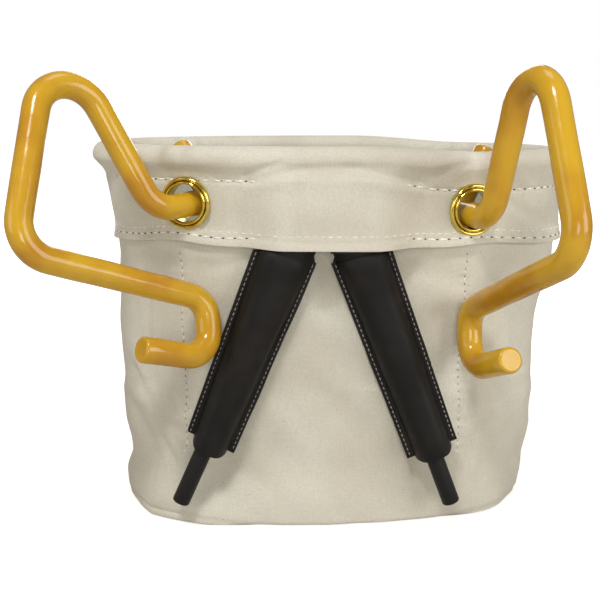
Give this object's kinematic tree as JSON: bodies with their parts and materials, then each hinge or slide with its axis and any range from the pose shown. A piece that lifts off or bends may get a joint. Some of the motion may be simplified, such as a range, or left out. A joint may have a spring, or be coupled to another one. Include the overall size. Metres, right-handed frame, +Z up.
{
  "type": "tool bucket",
  "caption": "Oval canvas tool bucket with a roped rim, a stitched collar, coated wire hanging hooks in brass grommets and black leather sheaths that hold bars.",
  "frame": {"origin": "centre of the flat base on the surface it stands on", "axes": "+Z up, -Y to the front with the hooks and sheaths, +X to the viewer's right"},
  "size_m": [0.418, 0.308, 0.3646],
  "materials": {
    "canvas": "natural duck canvas, matte",
    "lining": "natural canvas, matte",
    "rope": "cotton rope",
    "board": "stiff bottom board",
    "brass": "polished",
    "rod": "bare rod under the coat",
    "coat": "glossy dipped coat",
    "leather": "satin black",
    "bar": "matte black"
  },
  "bodies": {
    "bucket": {"wall": "canvas", "front_lining": "lining", "floor_panel": "canvas", "bottom_board": "board", "collar": "canvas", "rim_roll": "canvas", "rim_rope": "rope", "grommet_eyelet_left": "brass", "grommet_eyelet_right": "brass", "grommet_washer_left": "brass", "grommet_washer_right": "brass", "sheath_tab_left": "leather", "sheath_tab_right": "leather"},
    "hook_left": {"hook_rod_left": "rod", "hook_coat_left": "coat"},
    "hook_right": {"hook_rod_right": "rod", "hook_coat_right": "coat"},
    "sheath_left": {"sheath_front_left": "leather", "sheath_back_left": "leather"},
    "sheath_right": {"sheath_front_right": "leather", "sheath_back_right": "leather"},
    "bar_left": {"bar_left": "bar"},
    "bar_right": {"bar_right": "bar"}
  },
  "joints": [
    {"name": "hook_left_swing", "type": "hinge", "parent": "bucket", "child": "hook_left", "pos_m": [-0.10988, -0.0694, 0.26148], "axis": [0.1835, 0.5706, 0.8005], "range_deg": [0, 45]},
    {"name": "hook_right_swing", "type": "hinge", "parent": "bucket", "child": "hook_right", "pos_m": [0.10982, -0.06924, 0.25359], "axis": [-0.1835, 0.5706, 0.8005], "range_deg": [-18, 21]},
    {"name": "sheath_left_swing", "type": "hinge", "parent": "bucket", "child": "sheath_left", "pos_m": [-0.03628, -0.10296, 0.2264], "axis": [-1, 0, 0], "range_deg": [0, 60]},
    {"name": "sheath_right_swing", "type": "hinge", "parent": "bucket", "child": "sheath_right", "pos_m": [0.01911, -0.10404, 0.2264], "axis": [-1, 0, 0], "range_deg": [0, 60]},
    {"name": "bar_left_slide", "type": "slide", "parent": "sheath_left", "child": "bar_left", "axis": [-0.4067, 0, -0.9135], "range_m": [0, 0.024]},
    {"name": "bar_right_slide", "type": "slide", "parent": "sheath_right", "child": "bar_right", "axis": [0.3535, 0, -0.9354], "range_m": [0, 0.024]}
  ]
}
